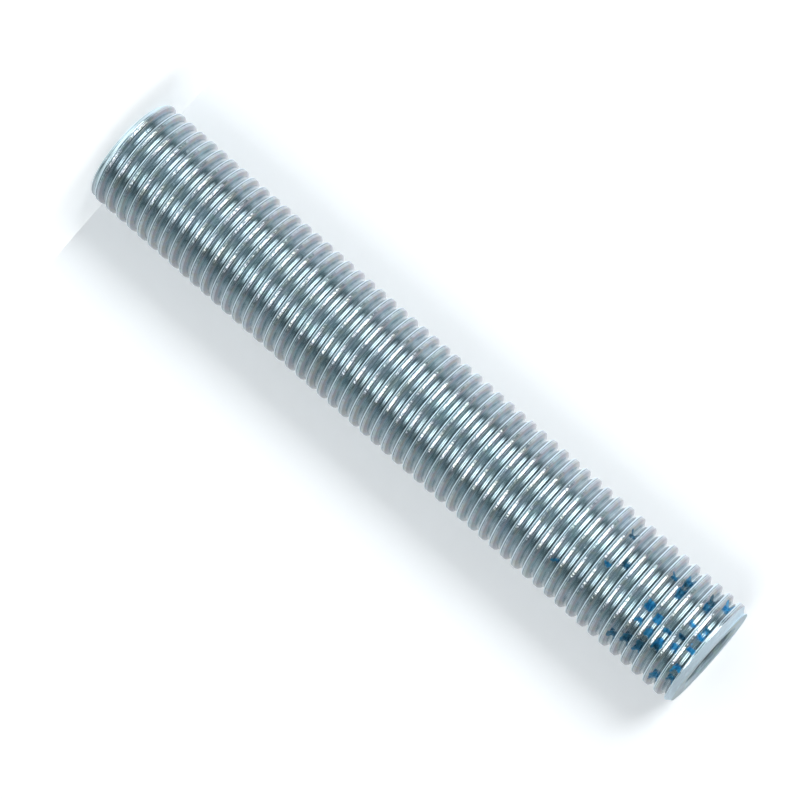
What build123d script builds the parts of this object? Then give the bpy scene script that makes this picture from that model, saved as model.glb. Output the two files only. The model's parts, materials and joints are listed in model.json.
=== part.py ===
from build123d import *
import os

# Lamp nipple: a straight length of threaded tube that joins a socket cap to the body of a lamp
# and carries the wires through its bore. 5/16 in x 27 threads per inch, 2 in long.
# It stands on one square-cut end: the tube's axis is +Z and the origin is the middle of that end.
# The outside is the cylinder over the thread's crests, as a drawing shows a cosmetic thread.

os.makedirs("parts", exist_ok=True)

# Driving dimensions, in millimetres
crest_diameter = 7.9375  # 5/16 in, over the thread
bore_diameter = 4.7625  # 3/16 in wireway, the full length of the tube
length = 50.8  # 2 in
lead_in_length = 0.65  # turned bevel that starts a nut, measured along the axis
lead_in_depth = 0.30  # the same bevel, measured along the radius
bore_edge_break = 0.15  # deburred mouth of the bore, so that it doesn't cut the wires

crest_radius = crest_diameter / 2
bore_radius = bore_diameter / 2

# The wall's half section stands beside the axis, cut end down, and turns once round it.
with BuildPart() as nipple:
    with BuildSketch(Plane.XZ) as wall_section:
        with BuildLine():
            Polyline(
                (bore_radius + bore_edge_break, 0),
                (crest_radius - lead_in_depth, 0),
                (crest_radius, lead_in_length),
                (crest_radius, length - lead_in_length),
                (crest_radius - lead_in_depth, length),
                (bore_radius + bore_edge_break, length),
                (bore_radius, length - bore_edge_break),
                (bore_radius, bore_edge_break),
                close=True,
            )
        make_face()
    revolve(axis=Axis.Z)

nipple.part.label = "threaded_tube"
export_step(nipple.part, "parts/threaded_tube.step")
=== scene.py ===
import json
import math

import bpy
from mathutils import Matrix, Vector


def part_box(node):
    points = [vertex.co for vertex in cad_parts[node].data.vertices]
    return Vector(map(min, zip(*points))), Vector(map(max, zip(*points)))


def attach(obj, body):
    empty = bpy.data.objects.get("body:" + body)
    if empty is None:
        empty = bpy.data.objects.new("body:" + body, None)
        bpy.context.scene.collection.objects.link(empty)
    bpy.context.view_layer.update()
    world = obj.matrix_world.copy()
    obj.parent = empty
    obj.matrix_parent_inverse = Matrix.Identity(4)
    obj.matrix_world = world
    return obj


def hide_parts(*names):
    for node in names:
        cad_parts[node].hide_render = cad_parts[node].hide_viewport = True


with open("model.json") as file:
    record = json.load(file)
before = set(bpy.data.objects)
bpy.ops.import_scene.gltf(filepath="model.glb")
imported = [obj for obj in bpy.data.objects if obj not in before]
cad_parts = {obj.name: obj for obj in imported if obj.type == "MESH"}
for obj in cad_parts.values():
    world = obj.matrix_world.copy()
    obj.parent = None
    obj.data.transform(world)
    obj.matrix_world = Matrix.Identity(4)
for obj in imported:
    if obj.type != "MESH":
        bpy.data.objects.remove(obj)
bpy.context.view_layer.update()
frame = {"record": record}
print("frame loaded")

mm = 0.001


def addNode(tree, kind, inputs=None, **settings):
    node = tree.nodes.new(kind)
    for name, value in settings.items():
        setattr(node, name, value)
    for key, value in (inputs or {}).items():
        feed(tree, node.inputs[key], value)
    return node


def feed(tree, socket, value):  # a link where the value is a socket, and a plain setting otherwise
    if isinstance(value, bpy.types.NodeSocket):
        tree.links.new(value, socket)
    elif value is not None:
        socket.default_value = value


def calc(tree, operation, *values, clamp=False):
    node = addNode(tree, "ShaderNodeMath", operation=operation, use_clamp=clamp)
    for socket, value in zip(node.inputs, values):
        feed(tree, socket, value)
    return node.outputs[0]


def total(tree, first, *others):
    for value in others:
        first = calc(tree, "ADD", first, value)
    return first


def product(tree, first, *others):
    for value in others:
        first = calc(tree, "MULTIPLY", first, value)
    return first


def ramp(tree, value, low, high, toLow=0.0, toHigh=1.0, smooth=True):  # clamped at both ends
    kind = "SMOOTHSTEP" if smooth else "LINEAR"
    node = addNode(tree, "ShaderNodeMapRange", interpolation_type=kind)
    for socket, given in zip(node.inputs, (value, low, high, toLow, toHigh)):
        feed(tree, socket, given)
    return node.outputs[0]


def floatCurve(tree, value, points, corners=()):  # smooth through the points, except at the corners
    node = addNode(tree, "ShaderNodeFloatCurve")
    curve = node.mapping.curves[0]
    curve.points[0].location, curve.points[1].location = points[0], points[-1]
    for place in points[1:-1]:
        curve.points.new(*place)
    for point in curve.points:
        sharp = any(abs(point.location[0] - corner) < 0.001 for corner in corners)
        point.handle_type = "VECTOR" if sharp else "AUTO"
    node.mapping.update()
    feed(tree, node.inputs["Value"], value)
    return node.outputs[0]


def vectorMath(tree, operation, *values):
    node = addNode(tree, "ShaderNodeVectorMath", operation=operation)
    for socket, value in zip(node.inputs, values):
        feed(tree, socket, value)
    return node


def newTree(name, kind, sockets):  # sockets: (name, in or out, type, default)
    tree = bpy.data.node_groups.new(name, kind)
    for label, way, socketKind, default in sockets:
        direction = "INPUT" if way == "in" else "OUTPUT"
        made = tree.interface.new_socket(name=label, in_out=direction, socket_type="NodeSocket" + socketKind)
        if default is not None:
            made.default_value = default
    return tree, tree.nodes.new("NodeGroupInput"), tree.nodes.new("NodeGroupOutput")


def inScene(name, data):
    made = bpy.data.objects.new(name, data)
    bpy.context.scene.collection.objects.link(made)
    return made


mounts = {mount["name"]: mount for mount in frame["record"]["mounts"]}
tubeLow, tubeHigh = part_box("threaded_tube")
tubeLength = tubeHigh.z - tubeLow.z
crestRadius = mounts["outside_thread"]["dims"]["r_mm"] * mm
boreRadius = mounts["wireway"]["dims"]["r_mm"] * mm
boreEdgeBreak = (tubeLength - mounts["wireway"]["dims"]["length_mm"] * mm) / 2

nipple = {
    "pitch": 25.4 / 27 * mm,
    "depth": 0.40 * mm,  # crest to root
    "startPhase": 0.70,  # where on the pitch the lower cut falls
    "columns": 66,  # steps round the tube
    "rowsPerPitch": 24,
    "wander": 0.014 * mm,  # uneven rolling of the crests
    "wanderSize": 1.6 * mm,
    "wanderBias": 0.62,  # above the noise's middle, so that most of the wander goes inwards
    "crestWear": 0.022 * mm,  # how far the crests near the upper end are flattened
    "wearLength": 4.4 * mm,
    "runout": 0.75 * mm,  # the valley fades out over this height at the lower cut
    "runoutDepth": 0.25,  # share of the depth left at the cut itself
    "bevelLength": 0.46 * mm,
    "bevelDepth": 0.30 * mm,
    "lowerRounding": 2.6,  # how blunt wear has made the lower bevel
    "seed": 3.0,
    # share of the pitch, share of the depth: root, lower flank, two lobes of the rolled crest
    # with a seam between them, a gentle upper slope, steep upper flank, root
    "profile": [
        (0.000, 0.000), (0.035, 0.022), (0.070, 0.055), (0.105, 0.140), (0.150, 0.335), (0.220, 0.589),
        (0.285, 0.832), (0.315, 0.900), (0.350, 0.948), (0.385, 1.000), (0.415, 0.958), (0.440, 0.914),
        (0.470, 0.968), (0.520, 0.978), (0.580, 0.966), (0.640, 0.970), (0.690, 0.984), (0.730, 0.905),
        (0.780, 0.772), (0.830, 0.545), (0.880, 0.336), (0.920, 0.190), (0.960, 0.065), (1.000, 0.000),
    ],
    "seamAt": 0.440,
    # share of the rows, share of the pitch: most rows go to the crest
    "rowShare": [(0.0, 0.0), (0.17, 0.130), (0.25, 0.290), (0.67, 0.660), (0.75, 0.800), (1.0, 1.0)],

    "base": (0.63, 0.715, 0.75, 1),
    # painted highlight: a lighter, bluer colour for the crest's lower lobe, standing for the bright paper it mirrors
    "shoulderPaintedHighlight": (0.70, 0.80, 0.86, 1),
    # painted shade: a darker colour for the upper half of each turn, standing for the dimmer paper it mirrors
    "flankPaintedShade": (0.52, 0.57, 0.60, 1),
    # painted shade for the creases beside the root and along the crest's seam
    "paintedCreviceShade": (0.22, 0.29, 0.32, 1),
    "bevel": (0.69, 0.83, 0.92, 1),
    "bore": (0.74, 0.94, 1.00, 1),
    # painted shade for the deep inside of the bore
    "paintedBoreShade": (0.09, 0.13, 0.14, 1),
    "bands": {  # share of the pitch: start, end, border
        "lowCrevice": (0.11, 0.17, 0.02),
        "shoulderPaintedHighlight": (0.27, 0.45, 0.05),
        "seam": (0.420, 0.445, 0.015),
        "upperLobe": (0.47, 0.69, 0.03),
        "flankPaintedShade": (0.50, 0.88, 0.06),
        "highCrevice": (0.86, 0.91, 0.02),
    },
    "rainbow": [  # along the film's thickness
        (0.00, (0.80, 0.80, 1.00, 1)), (0.25, (1.00, 0.97, 0.98, 1)), (0.38, (1.00, 0.90, 0.66, 1)),
        (0.50, (1.00, 0.80, 0.84, 1)), (0.66, (0.92, 0.86, 1.00, 1)), (0.82, (0.86, 1.00, 0.84, 1)),
        (1.00, (0.72, 0.95, 1.00, 1)),
    ],
    "rainbowCrest": 0.10,
    "rainbowFlank": 0.30,  # added to the crest's
    "rainbowBore": 0.35,
    "patches": 0.14,
    "borePatches": 0.30,
    # strength of the painted shade in the creases
    "creviceShadeStrength": 0.75,
    "roughness": (0.13, 0.26),
    "boreRoughness": (0.34, 0.50),
    # heights of the relief, in millimetres
    "grain": 0.0035,
    "streaks": 0.004,
    "beads": 0.030,  # lumps along the crest's upper lobe
    "nodules": 0.02,
    "bevelRings": 0.009,
    "faceCuts": 0.006,
    "boreDrawing": 0.02,
    "boreGrain": 0.018,

    "dyeFade": 0.55,  # soft border, as a share of each stain's size
    "dyeBright": (0.020, 0.340, 0.640, 1),
    "dyeDark": (0.006, 0.085, 0.140, 1),
    "dyeReach": 14,  # valleys from the upper end that can hold dye
    "dyeHalfWidth": 0.36,  # half a stain's size along the axis, in pitches
    # valley counted from the upper end, degrees round from the front, half angle, how dark
    "stains": [
        (1, 58, 8, 0.1), (1, 20, 2.5, 0.9), (1, 9.5, 4.5, 0.0), (1, -7, 5.5, 0.0), (1, -31, 5.5, 0.0),
        (1, -47, 5, 0.5), (1, 150, 20, 0.2),
        (2, 50, 5, 1.0), (2, 38, 4, 0.5), (2, 14, 3.5, 0.0), (2, -1, 2.5, 0.8), (2, -16, 4, 0.3),
        (2, -60, 9, 0.6), (2, -130, 15, 0.3),
        (3, -7, 3, 0.5), (3, -22, 4, 0.3), (3, -30, 4, 0.9), (3, 170, 16, 0.5),
        (4, 49, 6, 0.6), (4, 44, 4, 1.0), (4, 30, 7, 0.6), (4, -5, 7, 0.3), (4, -22, 5, 0.5), (4, -39, 5, 1.0),
        (4, -45, 5, 0.6), (4, -110, 9, 0.9),
        (5, 40, 4, 0.6), (5, 0, 8, 0.4), (5, -20, 3, 0.4), (5, -45, 8, 0.9), (5, 120, 12, 0.6),
        (6, -55, 6, 0.8), (8, 16, 4, 1.0), (9, 45, 3, 0.8), (9, 4, 3, 0.6), (12, -30, 4, 0.7),
    ],
}

tubeSizes = {
    "Pitch": nipple["pitch"],
    "Thread Depth": nipple["depth"],
    "Start Phase": nipple["startPhase"],
    "Crest Radius": crestRadius,
    "Length": tubeLength,
    "Bevel Length": nipple["bevelLength"],
    "Bevel Depth": nipple["bevelDepth"],
    "Crest Wear": nipple["crestWear"],
    "Wear Length": nipple["wearLength"],
    "Runout": nipple["runout"],
    "Wander": nipple["wander"],
    "Wander Size": nipple["wanderSize"],
    "Seed": nipple["seed"],
}


def roundAxis(tree, turn, radius, height):  # turn runs from 0 to 1
    angle = calc(tree, "MULTIPLY", turn, math.tau)
    node = addNode(tree, "ShaderNodeCombineXYZ", {
        "X": product(tree, calc(tree, "COSINE", angle), radius),
        "Y": product(tree, calc(tree, "SINE", angle), radius),
        "Z": height,
    })
    return node.outputs[0]


def threadRadiusTree():  # the tube's outside radius at any height and turn
    sockets = [("Height", "in", "Float", 0.0), ("Turn", "in", "Float", 0.0)]
    sockets += [(name, "in", "Float", value) for name, value in tubeSizes.items()]
    sockets += [("Radius", "out", "Float", None)]
    tree, given, made = newTree("threadRadius", "GeometryNodeTree", sockets)
    get = given.outputs
    turns = calc(tree, "DIVIDE", get["Height"], get["Pitch"])
    phase = total(tree, calc(tree, "SUBTRACT", turns, get["Turn"]), get["Start Phase"])
    profile = floatCurve(tree, calc(tree, "FRACT", phase), nipple["profile"], [nipple["seamAt"]])
    drop = product(tree, calc(tree, "SUBTRACT", 1.0, profile), get["Thread Depth"])
    filled = ramp(tree, get["Height"], 0.0, get["Runout"], nipple["runoutDepth"], 1.0)
    radius = calc(tree, "SUBTRACT", get["Crest Radius"], product(tree, drop, filled))

    noise = addNode(tree, "ShaderNodeTexNoise", {
        "Vector": roundAxis(tree, get["Turn"], get["Crest Radius"], get["Height"]),
        "Scale": calc(tree, "DIVIDE", 1.0, get["Wander Size"]), "Detail": 1.0, "W": get["Seed"],
    }, noise_dimensions="4D")
    wander = product(tree, calc(tree, "SUBTRACT", noise.outputs[0], nipple["wanderBias"]), get["Wander"])
    radius = total(tree, radius, wander)

    fromTop = calc(tree, "SUBTRACT", get["Length"], get["Height"])
    worn = ramp(tree, fromTop, get["Wear Length"], 0.0, 0.0, get["Crest Wear"])
    radius = calc(tree, "MINIMUM", radius, calc(tree, "SUBTRACT", get["Crest Radius"], worn))

    # a plain cone at the upper cut, and one rounded by wear at the lower cut
    upper = ramp(tree, fromTop, 0.0, get["Bevel Length"], 1.0, 0.0, smooth=False)
    lower = ramp(tree, get["Height"], 0.0, get["Bevel Length"], 1.0, 0.0, smooth=False)
    lower = calc(tree, "POWER", lower, nipple["lowerRounding"])
    bevel = product(tree, calc(tree, "MAXIMUM", upper, lower), get["Bevel Depth"])
    radius = calc(tree, "MINIMUM", radius, calc(tree, "SUBTRACT", get["Crest Radius"], bevel))
    feed(tree, made.inputs["Radius"], radius)
    return tree


def tubeTree():
    sockets = [(name, "in", "Float", value) for name, value in tubeSizes.items()]
    sockets += [
        ("Bore Radius", "in", "Float", boreRadius),
        ("Bore Edge Break", "in", "Float", boreEdgeBreak),
        ("Columns", "in", "Int", nipple["columns"]),
        ("Rows per Pitch", "in", "Int", nipple["rowsPerPitch"]),
        ("Thread Material", "in", "Material", None),
        ("Bore Material", "in", "Material", None),
        ("Geometry", "out", "Geometry", None),
    ]
    tree, given, made = newTree("threadedTube", "GeometryNodeTree", sockets)
    get = given.outputs
    radiusTree = threadRadiusTree()

    def outsideRadius(height, turn):
        node = addNode(tree, "GeometryNodeGroup", node_tree=radiusTree)
        feed(tree, node.inputs["Height"], height)
        feed(tree, node.inputs["Turn"], turn)
        for name in tubeSizes:
            tree.links.new(get[name], node.inputs[name])
        return node.outputs["Radius"]

    def wrapped(grid, turn, radius, height):  # a flat grid rolled round the axis
        place = roundAxis(tree, turn, radius, height)
        return addNode(tree, "GeometryNodeSetPosition", {"Geometry": grid, "Position": place}).outputs[0]

    def unitGrid(rows):
        node = addNode(tree, "GeometryNodeMeshGrid", {
            "Size X": 1.0, "Size Y": 1.0, "Vertices X": total(tree, get["Columns"], 1.0), "Vertices Y": rows,
        })
        position = addNode(tree, "GeometryNodeInputPosition").outputs[0]
        place = addNode(tree, "ShaderNodeSeparateXYZ", {0: position})
        turn = total(tree, place.outputs["X"], 0.5)
        along = total(tree, place.outputs["Y"], 0.5)
        return node.outputs[0], turn, along

    # outside: rows follow the helix, a turn longer than the tube at each end, and the cuts trim them
    pitches = calc(tree, "CEIL", calc(tree, "DIVIDE", get["Length"], get["Pitch"]))
    pitches = total(tree, pitches, 2.0)
    rowCount = product(tree, pitches, get["Rows per Pitch"])
    grid, turn, along = unitGrid(total(tree, rowCount, 1.0))
    rows = total(tree, product(tree, along, pitches), 0.0001)  # keeps a whole row from rounding down
    share = [place for place, _ in nipple["rowShare"]]
    bunched = floatCurve(tree, calc(tree, "FRACT", rows), nipple["rowShare"], share)
    climbed = total(tree, calc(tree, "FLOOR", rows), bunched, turn)
    height = calc(tree, "SUBTRACT", calc(tree, "SUBTRACT", climbed, get["Start Phase"]), 1.0)
    height = calc(tree, "MINIMUM", product(tree, height, get["Pitch"]), get["Length"])
    height = calc(tree, "MAXIMUM", height, 0.0)
    outside = wrapped(grid, turn, outsideRadius(height, turn), height)

    # inside: upper rim, over the cut face, down the bore, over the lower cut face, lower rim
    edgeRadius = total(tree, get["Bore Radius"], get["Bore Edge Break"])
    topMouth = calc(tree, "SUBTRACT", get["Length"], get["Bore Edge Break"])
    grid, turn, along = unitGrid(6)
    corners = [
        (outsideRadius(get["Length"], turn), get["Length"]),
        (edgeRadius, get["Length"]),
        (get["Bore Radius"], topMouth),
        (get["Bore Radius"], get["Bore Edge Break"]),
        (edgeRadius, 0.0),
        (outsideRadius(0.0, turn), 0.0),
    ]
    row = calc(tree, "ROUND", product(tree, along, len(corners) - 1.0))

    def byRow(values):
        node = addNode(tree, "GeometryNodeIndexSwitch", data_type="FLOAT")
        while len(node.index_switch_items) < len(values):
            node.index_switch_items.new()
        feed(tree, node.inputs["Index"], row)
        for number, value in enumerate(values):
            feed(tree, node.inputs[number + 1], value)
        return node.outputs[0]

    inside = wrapped(grid, turn, byRow([radius for radius, _ in corners]), byRow([level for _, level in corners]))

    marked = addNode(tree, "GeometryNodeCaptureAttribute", domain="FACE")
    marked.capture_items.new("BOOLEAN", "Threaded")
    feed(tree, marked.inputs["Geometry"], outside)
    feed(tree, marked.inputs["Threaded"], True)
    joined = addNode(tree, "GeometryNodeJoinGeometry")
    tree.links.new(inside, joined.inputs[0])
    tree.links.new(marked.outputs["Geometry"], joined.inputs[0])
    steps = addNode(tree, "GeometryNodeMergeByDistance", {"Geometry": joined.outputs[0], "Distance": 0.001 * mm})
    steps = addNode(tree, "GeometryNodeSetShadeSmooth", {"Geometry": steps.outputs[0]})
    edgeAngle = addNode(tree, "GeometryNodeInputMeshEdgeAngle").outputs[0]
    steps = addNode(tree, "GeometryNodeSetShadeSmooth", {
        "Geometry": steps.outputs[0], "Shade Smooth": False,
        "Selection": calc(tree, "GREATER_THAN", edgeAngle, math.radians(42)),
    }, domain="EDGE")
    steps = addNode(tree, "GeometryNodeRealizeInstances", {"Geometry": steps.outputs[0]})
    steps = addNode(tree, "GeometryNodeSetMaterial", {
        "Geometry": steps.outputs[0], "Material": get["Bore Material"],
    })
    steps = addNode(tree, "GeometryNodeSetMaterial", {
        "Geometry": steps.outputs[0], "Selection": marked.outputs["Threaded"], "Material": get["Thread Material"],
    })
    feed(tree, made.inputs["Geometry"], steps.outputs[0])
    return tree


def fromTree(name, tree, values):  # the tree's result as a plain mesh object
    holder = inScene(name + "Holder", bpy.data.meshes.new(name + "Holder"))
    modifier = holder.modifiers.new(tree.name, "NODES")
    modifier.node_group = tree
    for item in tree.interface.items_tree:
        if item.item_type == "SOCKET" and item.in_out == "INPUT" and item.name in values:
            modifier[item.identifier] = values[item.name]
    deps = bpy.context.evaluated_depsgraph_get()
    mesh = bpy.data.meshes.new_from_object(holder.evaluated_get(deps), depsgraph=deps)
    mesh.name = name
    bpy.data.objects.remove(holder)
    return inScene(name, mesh)


def clamped(value):
    return min(1.0, max(0.0, value))


def stainValleys(piece):  # how much dye lies at each point, and how dark it is
    mesh = piece.data
    amount = [0.0] * len(mesh.vertices)
    shade = [0.5] * len(mesh.vertices)
    pitch, start, fade = nipple["pitch"], nipple["startPhase"], nipple["dyeFade"]
    lowest = tubeLength - nipple["dyeReach"] * pitch
    innermost = crestRadius - 1.3 * nipple["depth"]  # leaves out the bore
    for number, vertex in enumerate(mesh.vertices):
        x, y, z = vertex.co
        if z < lowest or math.hypot(x, y) < innermost:
            continue
        front = math.degrees(math.atan2(x, -y))
        turn = (math.atan2(y, x) / math.tau) % 1.0
        topPhase = tubeLength / pitch - turn + start
        # in pitches below the last valley, which counts once a quarter of its pitch shows
        valley = math.floor(topPhase - 0.25) - (z / pitch - turn + start)
        for order, middle, half, dark in nipple["stains"]:
            away = abs((front + middle + 180) % 360 - 180) / half
            off = abs(valley - (order - 1)) / nipple["dyeHalfWidth"]
            level = clamped((1.15 - away) / fade) * clamped((1.2 - off) / fade)
            if level > amount[number]:
                amount[number], shade[number] = level, dark
    for name, values in (("dye", amount), ("dyeShade", shade)):
        layer = mesh.attributes.new(name, "FLOAT", "POINT")
        layer.data.foreach_set("value", values)


def mixColour(tree, amount, first, second, blend="MIX"):
    node = addNode(tree, "ShaderNodeMix", data_type="RGBA", blend_type=blend)
    feed(tree, node.inputs["Factor"], amount)
    colours = [socket for socket in node.inputs if socket.type == "RGBA"]
    feed(tree, colours[0], first)
    feed(tree, colours[1], second)
    return [socket for socket in node.outputs if socket.type == "RGBA"][0]


def grey(tree, value):
    return addNode(tree, "ShaderNodeCombineColor", {0: value, 1: value, 2: value}).outputs[0]


def noise(tree, place, scale, detail=2.0, stretch=None, distortion=0.0):
    if stretch:
        place = vectorMath(tree, "MULTIPLY", place, stretch).outputs[0]
    node = addNode(tree, "ShaderNodeTexNoise", {
        "Vector": place, "Scale": scale, "Detail": detail, "Distortion": distortion,
    })
    return node.outputs[0]


def band(tree, value, low, high, soft):  # 1 between low and high
    rise = ramp(tree, value, low - soft, low + soft)
    fall = ramp(tree, value, high - soft, high + soft, 1.0, 0.0)
    return product(tree, rise, fall)


def threadPlaceGroup():  # where on the thread a point lies
    tree, given, made = newTree("threadPlace", "ShaderNodeTree", [
        ("Pitch", "in", "Float", nipple["pitch"] / mm),
        ("Start Phase", "in", "Float", nipple["startPhase"]),
        ("Millimetres", "out", "Vector", None),
        ("Phase", "out", "Float", None),
        ("Height", "out", "Float", None),
        ("Radius", "out", "Float", None),
    ])
    coords = addNode(tree, "ShaderNodeTexCoord").outputs["Object"]
    place = addNode(tree, "ShaderNodeVectorMath", {0: coords, "Scale": 1 / mm}, operation="SCALE").outputs[0]
    x, y, z = addNode(tree, "ShaderNodeSeparateXYZ", {0: place}).outputs
    turn = calc(tree, "DIVIDE", calc(tree, "ARCTAN2", y, x), math.tau)
    turns = calc(tree, "DIVIDE", z, given.outputs["Pitch"])
    phase = total(tree, calc(tree, "SUBTRACT", turns, turn), given.outputs["Start Phase"])
    square = total(tree, product(tree, x, x), product(tree, y, y))
    feed(tree, made.inputs["Millimetres"], place)
    feed(tree, made.inputs["Phase"], calc(tree, "FRACT", phase))
    feed(tree, made.inputs["Height"], z)
    feed(tree, made.inputs["Radius"], calc(tree, "SQRT", square))
    return tree


def passivateGroup():  # the thin clear film on the zinc, with its faint rainbow
    tree, given, made = newTree("passivateFilm", "ShaderNodeTree", [
        ("Place", "in", "Vector", None),
        ("Base", "in", "Color", (0.6, 0.68, 0.72, 1)),
        ("Rainbow", "in", "Float", 0.4),
        ("Patchiness", "in", "Float", 0.15),
        ("Colour", "out", "Color", None),
    ])
    place, base, rainbow, patchiness = (given.outputs[name] for name in ("Place", "Base", "Rainbow", "Patchiness"))
    thickness = noise(tree, place, 0.55, 2.0, distortion=0.6)
    hues = addNode(tree, "ShaderNodeValToRGB", {"Fac": ramp(tree, thickness, 0.28, 0.72, smooth=False)})
    first, *between, last = nipple["rainbow"]
    for stop, (spot, colour) in zip(hues.color_ramp.elements, (first, last)):
        stop.position, stop.color = spot, colour
    for spot, colour in between:
        hues.color_ramp.elements.new(spot).color = colour
    hued = mixColour(tree, 1.0, base, hues.outputs[0], blend="MULTIPLY")
    tinted = mixColour(tree, rainbow, base, hued)
    patches = ramp(tree, noise(tree, place, 0.30, 3.0), 0.3, 0.7, smooth=False)
    shade = calc(tree, "SUBTRACT", 1.0, product(tree, patches, patchiness))
    feed(tree, made.inputs["Colour"], mixColour(tree, 1.0, tinted, grey(tree, shade), blend="MULTIPLY"))
    return tree


def metal(name):
    material = bpy.data.materials.new(name)
    material.use_nodes = True
    shader = material.node_tree.nodes["Principled BSDF"]
    shader.inputs["Metallic"].default_value = 1.0
    return material, material.node_tree, shader


def bumped(tree, shader, *reliefs):  # reliefs are in millimetres
    bump = addNode(tree, "ShaderNodeBump", {"Height": total(tree, *reliefs), "Distance": mm, "Strength": 1.0})
    feed(tree, shader.inputs["Normal"], bump.outputs[0])


def zincPlate(placeGroup, filmGroup):
    material, tree, shader = metal("zincPlate")
    where = addNode(tree, "ShaderNodeGroup", node_tree=placeGroup)
    place, phase, height = (where.outputs[name] for name in ("Millimetres", "Phase", "Height"))
    zones = {name: band(tree, phase, *limits) for name, limits in nipple["bands"].items()}

    # painted highlight: the crest's lower lobe is lightened
    base = mixColour(tree, zones["shoulderPaintedHighlight"], nipple["base"], nipple["shoulderPaintedHighlight"])
    # painted shade: the upper half of each turn is darkened
    base = mixColour(tree, zones["flankPaintedShade"], base, nipple["flankPaintedShade"])
    rainbow = total(tree, nipple["rainbowCrest"], product(tree, zones["flankPaintedShade"], nipple["rainbowFlank"]))
    film = addNode(tree, "ShaderNodeGroup", {
        "Place": place, "Base": base, "Rainbow": rainbow, "Patchiness": nipple["patches"],
    }, node_tree=filmGroup)
    # painted shade: the creases beside the root and along the crest's seam are darkened, patchily
    paintedCreviceShade = calc(tree, "MAXIMUM", zones["lowCrevice"], zones["highCrevice"])
    paintedShade = total(tree, product(tree, paintedCreviceShade, nipple["creviceShadeStrength"]), zones["seam"])
    paintedShade = product(tree, paintedShade, ramp(tree, noise(tree, place, 1.2, 3.0), 0.30, 0.62, 0.25, 0.9))
    colour = mixColour(tree, paintedShade, film.outputs[0], nipple["paintedCreviceShade"])

    fromEnd = calc(tree, "SUBTRACT", tubeLength / mm, height)
    bevelEnd = nipple["bevelLength"] / mm + 0.02
    bevel = ramp(tree, fromEnd, bevelEnd - 0.08, bevelEnd, 1.0, 0.0)
    colour = mixColour(tree, bevel, colour, nipple["bevel"])

    dye = addNode(tree, "ShaderNodeAttribute", attribute_name="dye").outputs["Fac"]
    dyeShade = addNode(tree, "ShaderNodeAttribute", attribute_name="dyeShade").outputs["Fac"]
    uneven = calc(tree, "SUBTRACT", noise(tree, place, 2.6, 3.0), 0.5)
    ragged = total(tree, dye, product(tree, uneven, 1.5))
    stained = product(tree, ramp(tree, ragged, 0.45, 0.75), ramp(tree, dye, 0.05, 0.35))
    cloudy = calc(tree, "SUBTRACT", noise(tree, place, 1.9), 0.5)
    mottled = calc(tree, "ADD", dyeShade, product(tree, cloudy, 1.2), clamp=True)
    dyeColour = mixColour(tree, mottled, nipple["dyeBright"], nipple["dyeDark"])
    colour = mixColour(tree, product(tree, stained, 0.95), colour, dyeColour)
    feed(tree, shader.inputs["Base Color"], colour)

    # dye and the turned bevel are duller than plate
    dull = product(tree, stained, ramp(tree, noise(tree, place, 2.0, 2.0), 0.35, 0.62, 0.25, 0.85))
    dull = calc(tree, "MAXIMUM", dull, product(tree, bevel, 0.55))
    feed(tree, shader.inputs["Metallic"], calc(tree, "SUBTRACT", 1.0, dull))
    rough = ramp(tree, noise(tree, place, 2.2, 3.0), 0.3, 0.7, *nipple["roughness"], smooth=False)
    feed(tree, shader.inputs["Roughness"], calc(tree, "MAXIMUM", rough, product(tree, bevel, 0.45)))

    grain = product(tree, noise(tree, place, 7.0, 2.0), nipple["grain"])
    streaks = product(tree, noise(tree, place, 1.0, 2.0, stretch=(1.3, 1.3, 11.0)), nipple["streaks"])
    lumps = noise(tree, place, 4.6, 2.0)
    beads = product(tree, lumps, zones["upperLobe"], nipple["beads"])
    rings = calc(tree, "SINE", product(tree, total(tree, fromEnd, product(tree, lumps, 0.12)), 29.0))
    rings = product(tree, rings, bevel, nipple["bevelRings"])
    cells = addNode(tree, "ShaderNodeTexVoronoi", {"Vector": place, "Scale": 1.3})
    pick = addNode(tree, "ShaderNodeSeparateColor", {0: cells.outputs["Color"]}).outputs[0]
    nodules = ramp(tree, cells.outputs["Distance"], 0.10, 0.02, 0.0, nipple["nodules"])
    nodules = product(tree, nodules, ramp(tree, pick, 0.80, 0.82))  # in one cell of five
    bumped(tree, shader, grain, streaks, beads, rings, nodules)
    return material


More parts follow.
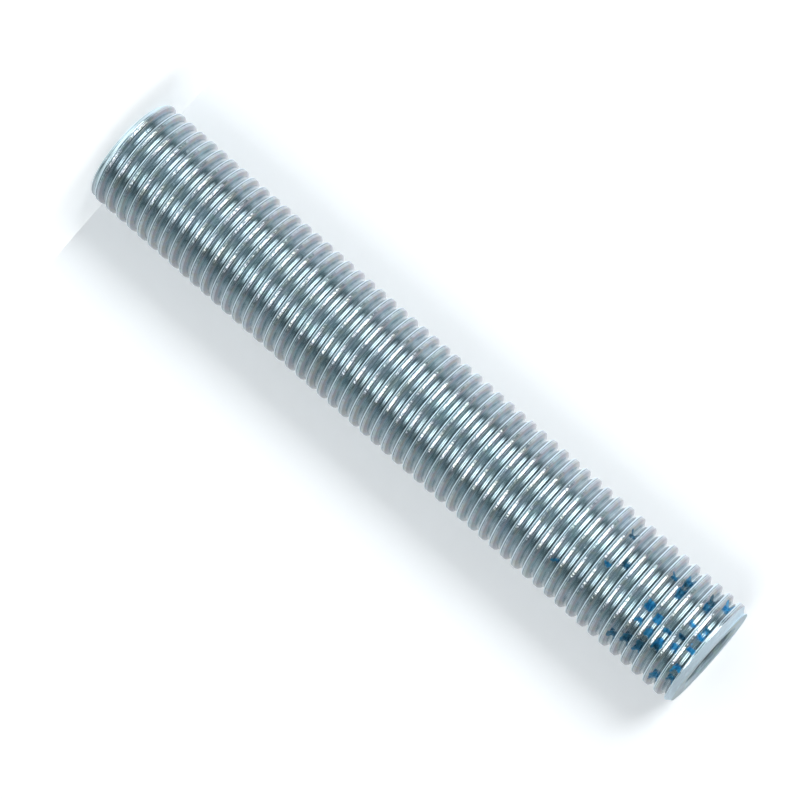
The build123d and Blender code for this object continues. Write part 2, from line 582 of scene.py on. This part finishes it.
def boreFinish(placeGroup, filmGroup):  # the cut faces and the drawn bore
    material, tree, shader = metal("platedBore")
    where = addNode(tree, "ShaderNodeGroup", node_tree=placeGroup)
    place, height, radius = (where.outputs[name] for name in ("Millimetres", "Height", "Radius"))
    film = addNode(tree, "ShaderNodeGroup", {
        "Place": place, "Base": nipple["bore"], "Rainbow": nipple["rainbowBore"], "Patchiness": nipple["borePatches"],
    }, node_tree=filmGroup)
    fromEnd = calc(tree, "MINIMUM", height, calc(tree, "SUBTRACT", tubeLength / mm, height))
    # painted shade: the bore is darkened from a little way inside each mouth
    boreShadeMask = ramp(tree, fromEnd, 0.27, 0.37, 0.0, 0.8)
    feed(tree, shader.inputs["Base Color"], mixColour(tree, boreShadeMask, film.outputs[0], nipple["paintedBoreShade"]))
    rough = ramp(tree, noise(tree, place, 3.0, 3.0), 0.3, 0.7, *nipple["boreRoughness"], smooth=False)
    feed(tree, shader.inputs["Roughness"], rough)

    face = ramp(tree, radius, boreRadius / mm + 0.04, boreRadius / mm + 0.10)
    uneven = product(tree, noise(tree, place, 2.5, 2.0), 0.10)
    cuts = calc(tree, "SINE", product(tree, total(tree, radius, uneven), 42.0))
    cuts = product(tree, cuts, face, nipple["faceCuts"])
    drawn = product(tree, noise(tree, place, 1.0, 2.0, stretch=(6.0, 6.0, 0.5)), nipple["boreDrawing"])
    drawn = product(tree, drawn, calc(tree, "SUBTRACT", 1.0, face))
    grain = product(tree, noise(tree, place, 8.0, 2.0), nipple["boreGrain"])
    bumped(tree, shader, cuts, drawn, grain)
    return material


placeGroup, filmGroup = threadPlaceGroup(), passivateGroup()
tube = fromTree("threadedNipple", tubeTree(), {
    "Thread Material": zincPlate(placeGroup, filmGroup), "Bore Material": boreFinish(placeGroup, filmGroup),
})
print("tube:", len(tube.data.vertices), "vertices", len(tube.data.polygons), "faces")
stainValleys(tube)
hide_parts("threaded_tube")
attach(tube, "root")
print("dye laid in the upper valleys")

# A white card stands close behind the tube and takes its shadow.
studio = {
    "fill": 0.16,  # world light on the paper
    "paper": (0.87, 0.90, 0.92, 1),
    "floorSize": 1.2,
    "floorGlow": 0.66,  # the paper's own white, for the camera only
    "footShade": (5.0 * mm, 11.0 * mm, 0.50),  # inner and outer radius, share of the glow left inside
    "cardSize": 0.5,
    "cardGap": 0.02 * mm,
    "cardGlow": 0.17,
    "lightDistance": 0.6,
    "lightHeight": 0.22,
    "lightRise": 12.0,  # degrees above the tube's middle
    "lights": [  # name, azimuth, angular width, share of the paper's white that it gives
        ("rightLight", 28.0, 22.0, 0.22),
        ("leftLight", -37.0, 22.0, 0.40),
        ("backLight", 150.0, 30.0, 0.30),
    ],
}

# What the metal mirrors. Azimuths run from the front, lifts from the level of the tube's middle, in degrees.
room = {
    "radius": 0.9,
    "tint": (0.74, 1.00, 1.08, 1),
    "lowTint": (0.88, 1.02, 1.06, 1),
    "lowTintLifts": (-22.0, -45.0),  # where it starts and is full
    "levels": [
        (-80, 1.9), (-50, 1.1), (-35, 0.72), (-20, 0.46), (0, 0.42), (20, 0.26), (40, 0.18), (80, 0.40),
    ],
    "troughs": [(64.0, 30.0, 0.50), (-70.0, 22.0, 0.60)],  # azimuth, width, share of the level left
    "papers": [  # the paper on each side of the tube
        {
            "azimuths": (-74.0, -98.0),  # where it starts and is full
            "lowTint": (0.84, 0.94, 1.00, 1),
            "highTint": (0.95, 0.95, 1.00, 1),
            "levels": [(-80, 1.25), (-40, 1.32), (-15, 1.26), (10, 0.92), (40, 0.70), (80, 0.66)],
        },
        {
            "azimuths": (72.0, 116.0),
            "lowTint": (0.86, 0.97, 1.00, 1),
            "highTint": (0.93, 0.96, 1.00, 1),
            "levels": [(-80, 0.92), (-40, 0.95), (-15, 0.86), (10, 0.62), (40, 0.48), (80, 0.45)],
        },
    ],
    "paperTintLifts": (-45.0, 35.0),
    "softboxes": [  # azimuth, width, border, strength, reach in lift and its border
        (33.5, 29.0, 9.0, 4.6, 9.0, 7.0),
        (-40.0, 38.0, 11.0, 5.6, 9.0, 7.0),
    ],
}


def bareMaterial(name):
    material = bpy.data.materials.new(name)
    material.use_nodes = True
    tree = material.node_tree
    tree.nodes.remove(tree.nodes["Principled BSDF"])
    return material, tree, tree.nodes["Material Output"].inputs["Surface"]


def seenDirectly(tree):  # 1 for the camera, mirrors and glass
    path = addNode(tree, "ShaderNodeLightPath")
    seen = calc(tree, "MAXIMUM", path.outputs["Is Camera Ray"], path.outputs["Is Glossy Ray"])
    return calc(tree, "MAXIMUM", seen, path.outputs["Is Transmission Ray"])


def paperMaterial(name, glow, oneSided=False, dimAtFoot=False):
    material, tree, output = bareMaterial(name)
    if dimAtFoot:  # a soft dim patch round the tube's foot
        coords = addNode(tree, "ShaderNodeTexCoord").outputs["Object"]
        inner, outer, left = studio["footShade"]
        glow = ramp(tree, vectorMath(tree, "LENGTH", coords).outputs["Value"], inner, outer, left * glow, glow)
    diffuse = addNode(tree, "ShaderNodeBsdfDiffuse", {"Color": studio["paper"]})
    lit = addNode(tree, "ShaderNodeEmission", {
        "Color": (1, 1, 1, 1), "Strength": product(tree, seenDirectly(tree), glow),
    })
    surface = addNode(tree, "ShaderNodeAddShader", {0: diffuse.outputs[0], 1: lit.outputs[0]}).outputs[0]
    if oneSided:
        backfacing = addNode(tree, "ShaderNodeNewGeometry").outputs["Backfacing"]
        clear = addNode(tree, "ShaderNodeBsdfTransparent").outputs[0]
        surface = addNode(tree, "ShaderNodeMixShader", {0: backfacing, 1: surface, 2: clear}).outputs[0]
    feed(tree, output, surface)
    return material


def roomMaterial():
    material, tree, output = bareMaterial("room")
    coords = addNode(tree, "ShaderNodeTexCoord").outputs["Object"]
    centred = vectorMath(tree, "SUBTRACT", coords, (0, 0, tubeLength / 2))
    x, y, z = addNode(tree, "ShaderNodeSeparateXYZ", {0: centred.outputs[0]}).outputs
    azimuth = calc(tree, "DEGREES", calc(tree, "ARCTAN2", x, product(tree, y, -1.0)))
    lift = calc(tree, "DEGREES", calc(tree, "ARCSINE", calc(tree, "DIVIDE", z, room["radius"])))
    liftShare = calc(tree, "DIVIDE", total(tree, lift, 90.0), 180.0)

    def byLift(points, top=3.0):  # the curve's own values run from 0 to 1
        first, last = (-90, points[0][1]), (90, points[-1][1])
        places = [((angle + 90) / 180, value / top) for angle, value in [first, *points, last]]
        return product(tree, floatCurve(tree, liftShare, places), top)

    def awayFrom(middle):
        return calc(tree, "ABSOLUTE", calc(tree, "SUBTRACT", azimuth, middle))

    level = byLift(room["levels"])
    for middle, width, left in room["troughs"]:
        level = product(tree, level, ramp(tree, awayFrom(middle), 0.1 * width, 0.7 * width, left, 1.0))
    tint = mixColour(tree, ramp(tree, lift, *room["lowTintLifts"]), room["tint"], room["lowTint"])
    colour = mixColour(tree, 1.0, tint, grey(tree, level), blend="MULTIPLY")
    for paper in room["papers"]:
        tint = mixColour(tree, ramp(tree, lift, *room["paperTintLifts"]), paper["lowTint"], paper["highTint"])
        white = mixColour(tree, 1.0, tint, grey(tree, byLift(paper["levels"])), blend="MULTIPLY")
        colour = mixColour(tree, ramp(tree, azimuth, *paper["azimuths"]), colour, white)
    boxes = []
    for middle, width, border, strength, reach, reachBorder in room["softboxes"]:
        across = ramp(tree, awayFrom(middle), width / 2 - border, width / 2 + border, strength, 0.0)
        along = ramp(tree, calc(tree, "ABSOLUTE", lift), reach - reachBorder, reach + reachBorder, 1.0, 0.0)
        boxes.append(product(tree, across, along))
    colour = mixColour(tree, 1.0, colour, grey(tree, total(tree, *boxes)), blend="ADD")
    feed(tree, output, addNode(tree, "ShaderNodeEmission", {"Color": colour}).outputs[0])
    return material


def meshObject(name, points, faces, material):
    mesh = bpy.data.meshes.new(name)
    mesh.from_pydata(points, [], faces)
    mesh.materials.append(material)
    return inScene(name, mesh)


def buildStage():
    middle = tubeLength / 2
    square = [(-1, -1), (1, -1), (1, 1), (-1, 1)]
    half = studio["floorSize"] / 2
    floor = meshObject("floor", [(half * x, half * y, 0) for x, y in square], [(0, 1, 2, 3)],
                       paperMaterial("floorPaper", studio["floorGlow"], dimAtFoot=True))
    floor.visible_glossy = False
    half, behind = studio["cardSize"] / 2, crestRadius + studio["cardGap"]
    card = meshObject("card", [(half * x, behind, middle + half * z) for x, z in square], [(0, 1, 2, 3)],
                      paperMaterial("cardPaper", studio["cardGlow"], oneSided=True))
    card.visible_shadow = False
    card.visible_glossy = False

    steps, rings = 48, 24
    points = []
    for ring in range(rings + 1):
        tilt = math.radians(-90 + 180 * ring / rings)
        across, up = room["radius"] * math.cos(tilt), room["radius"] * math.sin(tilt)
        for step in range(steps):
            turn = math.tau * step / steps
            points.append((across * math.cos(turn), across * math.sin(turn), middle + up))
    faces = []
    for ring in range(rings):
        for step in range(steps):
            a, b = ring * steps + step, ring * steps + (step + 1) % steps
            faces.append((a, b, b + steps, a + steps))
    shell = meshObject("room", points, faces, roomMaterial())
    shell.visible_camera = False
    shell.visible_diffuse = False
    shell.visible_shadow = False
    shell.visible_transmission = False


def buildLights():
    middle = Vector((0, 0, tubeLength / 2))
    distance, rise = studio["lightDistance"], math.radians(studio["lightRise"])
    for name, azimuth, spread, share in studio["lights"]:
        turn = math.radians(azimuth)
        away = Vector((math.sin(turn) * math.cos(rise), -math.cos(turn) * math.cos(rise), math.sin(rise)))
        lamp = bpy.data.lights.new(name, "AREA")
        lamp.shape = "RECTANGLE"
        lamp.size = 2 * distance * math.tan(math.radians(spread / 2))
        lamp.size_y = studio["lightHeight"]
        lamp.energy = share * math.pi ** 2 * distance ** 2 / (0.9 * abs(away.y))  # 0.9: the paper's own white
        made = inScene(name, lamp)
        made.location = middle + away * distance
        made.rotation_euler = away.to_track_quat("Z", "Y").to_euler()
        made.visible_glossy = False


def buildWorld():
    world = bpy.data.worlds.new("studio")
    bpy.context.scene.world = world
    world.use_nodes = True
    tree = world.node_tree
    strength = ramp(tree, seenDirectly(tree), 0.0, 1.0, studio["fill"], 1.0, smooth=False)
    background = tree.nodes["Background"]
    feed(tree, background.inputs["Color"], (1, 1, 1, 1))
    feed(tree, background.inputs["Strength"], strength)


view = {
    "elevation": 9.9,  # above the horizon, so that the upper end's face shows
    "distance": 0.277,
    "slope": 41.3,  # how far the tube's axis runs downhill in the frame
    "width": 51.9818 * mm,  # what the frame spans at the tube's middle
    "aim": (0.99415 * mm, 0.05848 * mm),  # the tube's middle from the frame's centre, right and up
}


def buildCamera():
    camera = bpy.data.cameras.new("camera")
    camera.sensor_width = 36
    camera.lens = camera.sensor_width * view["distance"] / view["width"]
    camera.clip_start, camera.clip_end = 0.01, 10
    made = inScene("camera", camera)
    lift, slope = math.radians(view["elevation"]), math.radians(view["slope"])
    back = Vector((0, -math.cos(lift), math.sin(lift)))
    side, rise = Vector((1, 0, 0)), Vector((0, math.sin(lift), math.cos(lift)))
    right = -math.sin(slope) * side + math.cos(slope) * rise
    up = -math.cos(slope) * side - math.sin(slope) * rise
    offset = right * view["aim"][0] + up * view["aim"][1]
    place = Vector((0, 0, tubeLength / 2)) - offset + back * view["distance"]
    turn = Matrix((right, up, back)).transposed().to_4x4()
    made.matrix_world = Matrix.Translation(place) @ turn
    bpy.context.scene.camera = made


buildStage()
buildLights()
buildWorld()
buildCamera()
bpy.context.scene.view_settings.view_transform = "Standard"
print("stage, lights and camera set")
